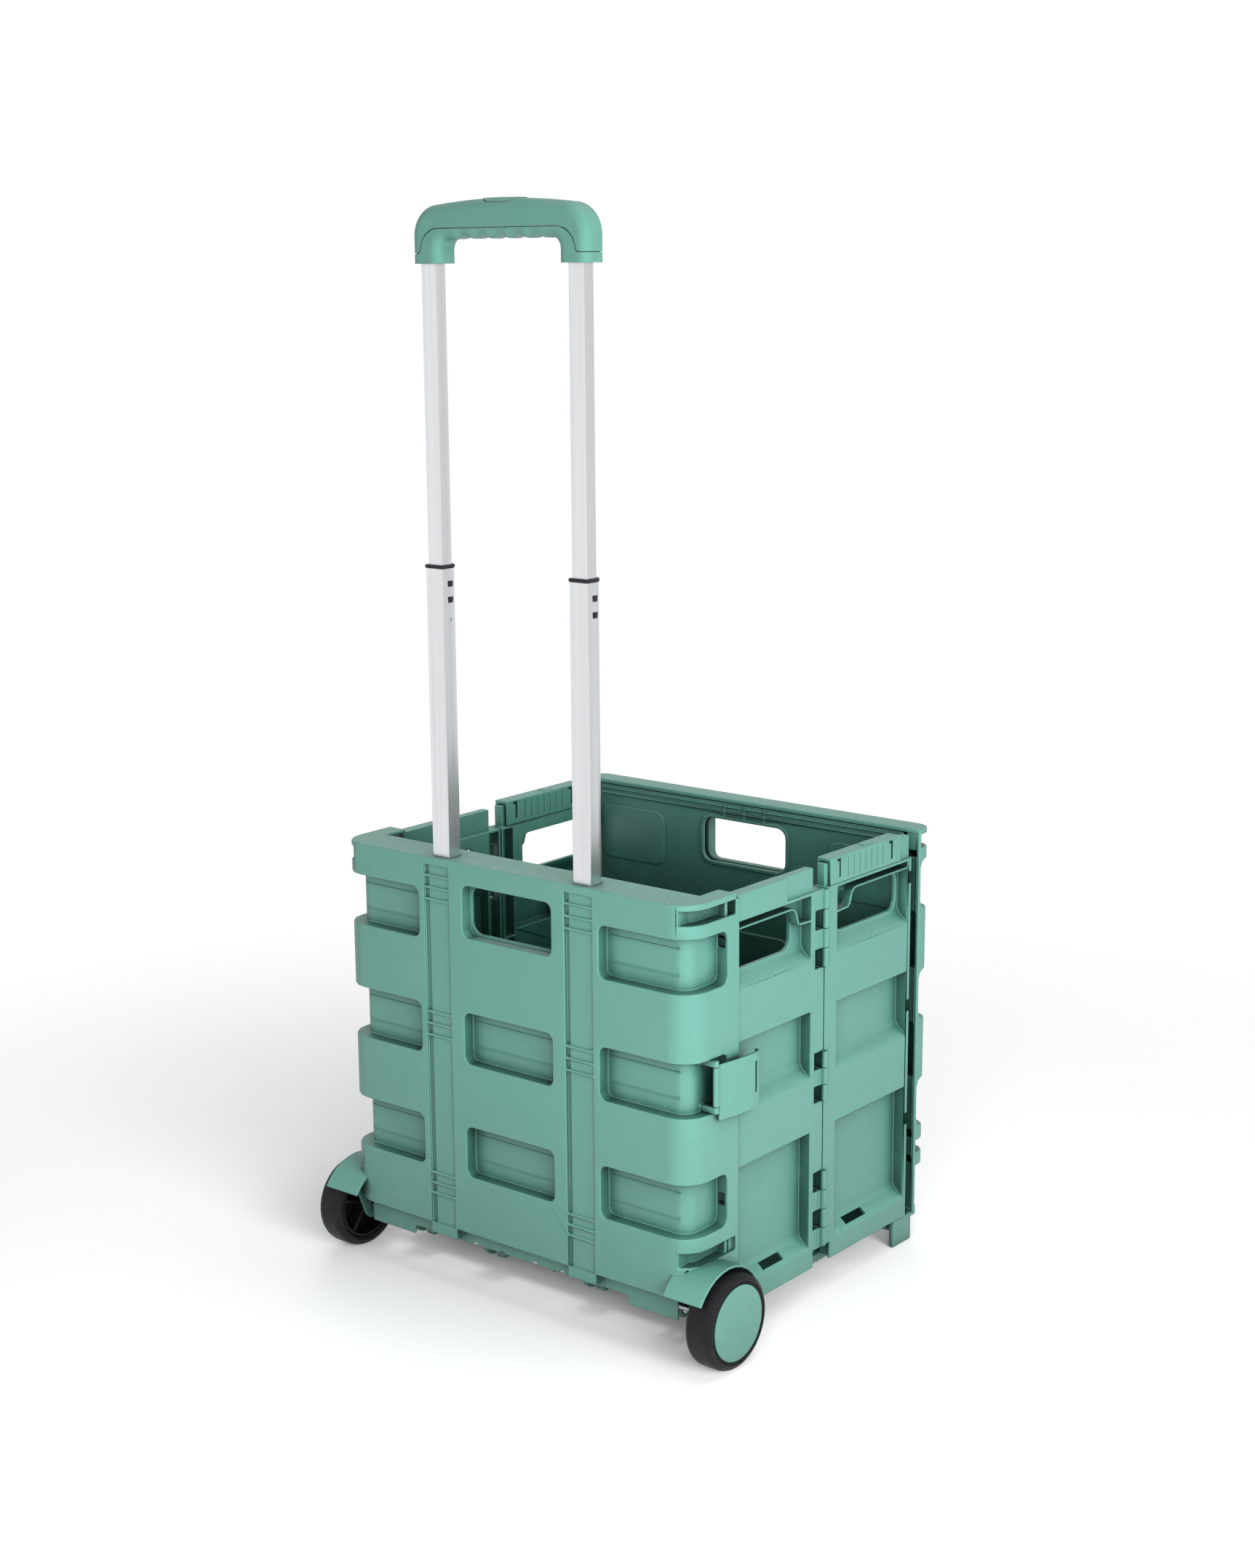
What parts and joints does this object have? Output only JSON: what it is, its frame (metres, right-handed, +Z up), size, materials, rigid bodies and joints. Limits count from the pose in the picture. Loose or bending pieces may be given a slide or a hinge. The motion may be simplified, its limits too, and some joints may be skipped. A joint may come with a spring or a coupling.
{
  "type": "folding shopping trolley crate",
  "caption": "Folding plastic shopping crate on wheels, with hinged side walls, a lift-up floor, slide locks, a side clasp and a telescopic pull handle.",
  "frame": {"origin": "on the ground, in the middle of the footprint (the box of the whole object, seen from above)", "axes": "+Z up; +X to the right of the person who stands behind the handle wall and looks towards the front wall; +Y from the handle wall to the front wall"},
  "size_m": [0.4706, 0.4076, 0.9816],
  "materials": {
    "green_plastic": "fine moulded texture, satin",
    "aluminium": "satin anodised, drawn lengthwise",
    "black_plastic": "matt moulded",
    "tyre_rubber": "smooth tread, satin",
    "steel": "bright drawn wire"
  },
  "bodies": {
    "chassis": {"rear_wall": "green_plastic", "fixed_sleeve_right": "aluminium", "fixed_sleeve_left": "aluminium", "wheel_axle": "steel", "axle_clip_right": "steel", "axle_clip_left": "steel", "rear_hinge_pin_right": "steel", "rear_hinge_pin_left": "steel", "clasp_pin": "steel", "floor_hinge_rod": "steel"},
    "lower_handle": {"lower_tube_right": "aluminium", "lower_tube_left": "aluminium", "tube_collar_right": "black_plastic", "tube_collar_left": "black_plastic"},
    "upper_handle": {"upper_tube_right": "aluminium", "upper_tube_left": "aluminium", "tube_foot_right": "black_plastic", "tube_foot_left": "black_plastic", "grip_upper_shell": "green_plastic", "grip_lower_shell": "green_plastic", "grip_screw_right": "steel", "grip_screw_left": "steel", "button_spring": "steel"},
    "release": {"release_button": "green_plastic", "release_bridge": "black_plastic", "release_rod_right": "steel", "release_rod_left": "steel"},
    "latch_right": {"latch_pin_right": "steel"},
    "latch_left": {"latch_pin_left": "steel"},
    "detent_right": {"detent_pin_right": "steel"},
    "detent_left": {"detent_pin_left": "steel"},
    "floor": {"floor_panel": "green_plastic"},
    "right_rear_side": {"rear_side_panel_right": "green_plastic"},
    "right_front_side": {"front_side_panel_right": "green_plastic", "middle_hinge_pin_1_right": "steel", "middle_hinge_pin_2_right": "steel", "middle_hinge_pin_3_right": "steel"},
    "left_rear_side": {"rear_side_panel_left": "green_plastic"},
    "left_front_side": {"front_side_panel_left": "green_plastic", "middle_hinge_pin_1_left": "steel", "middle_hinge_pin_2_left": "steel", "middle_hinge_pin_3_left": "steel"},
    "front_wall": {"front_wall": "green_plastic", "front_liner": "green_plastic", "front_hinge_pin_right": "steel", "front_hinge_pin_left": "steel"},
    "right_slide_lock": {"slide_lock_right": "green_plastic"},
    "left_slide_lock": {"slide_lock_left": "green_plastic"},
    "clasp": {"clasp": "green_plastic"},
    "wheel_right": {"tyre_right": "tyre_rubber", "wheel_hub_right": "black_plastic", "hub_cap_right": "green_plastic"},
    "wheel_left": {"tyre_left": "tyre_rubber", "wheel_hub_left": "black_plastic", "hub_cap_left": "green_plastic"}
  },
  "joints": [
    {"name": "fold", "type": "hinge", "parent": "chassis", "child": "right_rear_side", "pos_m": [0.188, -0.1283, 0.2], "axis": [0, 0, 1], "range_deg": [0, 90]},
    {"name": "right_middle_hinge", "type": "hinge", "parent": "right_rear_side", "child": "right_front_side", "pos_m": [0.2006, 0.0142, 0.2], "axis": [0, 0, 1], "range_deg": [-180, 0]},
    {"name": "right_front_hinge", "type": "hinge", "parent": "right_front_side", "child": "front_wall", "pos_m": [0.188, 0.1567, 0.2], "axis": [0, 0, 1], "range_deg": [0, 90]},
    {"name": "left_rear_hinge", "type": "hinge", "parent": "chassis", "child": "left_rear_side", "pos_m": [-0.188, -0.1283, 0.2], "axis": [0, 0, 1], "range_deg": [-90, 0]},
    {"name": "left_middle_hinge", "type": "hinge", "parent": "left_rear_side", "child": "left_front_side", "pos_m": [-0.2006, 0.0142, 0.2], "axis": [0, 0, 1], "range_deg": [0, 180]},
    {"name": "floor_hinge", "type": "hinge", "parent": "chassis", "child": "floor", "pos_m": [0, -0.1443, 0.028], "axis": [1, 0, 0], "range_deg": [0, 90]},
    {"name": "right_lock_slide", "type": "slide", "parent": "right_front_side", "child": "right_slide_lock", "axis": [0, 1, 0], "range_m": [-0.06, 0]},
    {"name": "left_lock_slide", "type": "slide", "parent": "left_front_side", "child": "left_slide_lock", "axis": [0, 1, 0], "range_m": [-0.06, 0]},
    {"name": "lower_handle_slide", "type": "slide", "parent": "chassis", "child": "lower_handle", "axis": [0, 0, 1], "range_m": [-0.255, 0]},
    {"name": "upper_handle_slide", "type": "slide", "parent": "lower_handle", "child": "upper_handle", "axis": [0, 0, 1], "range_m": [-0.255, 0]},
    {"name": "release_press", "type": "slide", "parent": "upper_handle", "child": "release", "axis": [0, 0, 1], "range_m": [-0.003, 0], "stiffness_N_per_m": 1500, "springref_m": 0.002, "deforming": ["button_spring"]},
    {"name": "latch_right_pull", "type": "slide", "parent": "upper_handle", "child": "latch_right", "axis": [1, 0, 0], "range_m": [-0.0015, 0]},
    {"name": "latch_left_pull", "type": "slide", "parent": "upper_handle", "child": "latch_left", "axis": [-1, 0, 0], "range_m": [-0.0015, 0]},
    {"name": "detent_right_press", "type": "slide", "parent": "lower_handle", "child": "detent_right", "axis": [1, 0, 0], "range_m": [0, 0.0012], "stiffness_N_per_m": 500, "springref_m": -0.001},
    {"name": "detent_left_press", "type": "slide", "parent": "lower_handle", "child": "detent_left", "axis": [-1, 0, 0], "range_m": [0, 0.0012], "stiffness_N_per_m": 500, "springref_m": -0.001},
    {"name": "clasp_hinge", "type": "hinge", "parent": "chassis", "child": "clasp", "pos_m": [0.206, -0.1563, 0.24], "axis": [0, 0, -1], "range_deg": [0, 100]},
    {"name": "wheel_right_spin", "type": "hinge", "parent": "chassis", "child": "wheel_right", "pos_m": [0.22, -0.1613, 0.0425], "axis": [1, 0, 0], "continuous": true},
    {"name": "wheel_left_spin", "type": "hinge", "parent": "chassis", "child": "wheel_left", "pos_m": [-0.22, -0.1613, 0.0425], "axis": [1, 0, 0], "continuous": true}
  ],
  "couplings": [
    {"joint": "right_middle_hinge", "follows": "fold", "ratio": -2},
    {"joint": "right_front_hinge", "follows": "fold", "ratio": 1},
    {"joint": "left_rear_hinge", "follows": "fold", "ratio": -1},
    {"joint": "left_middle_hinge", "follows": "fold", "ratio": 2},
    {"joint": "latch_right_pull", "follows": "release_press", "ratio": 0.5},
    {"joint": "latch_left_pull", "follows": "release_press", "ratio": 0.5}
  ]
}
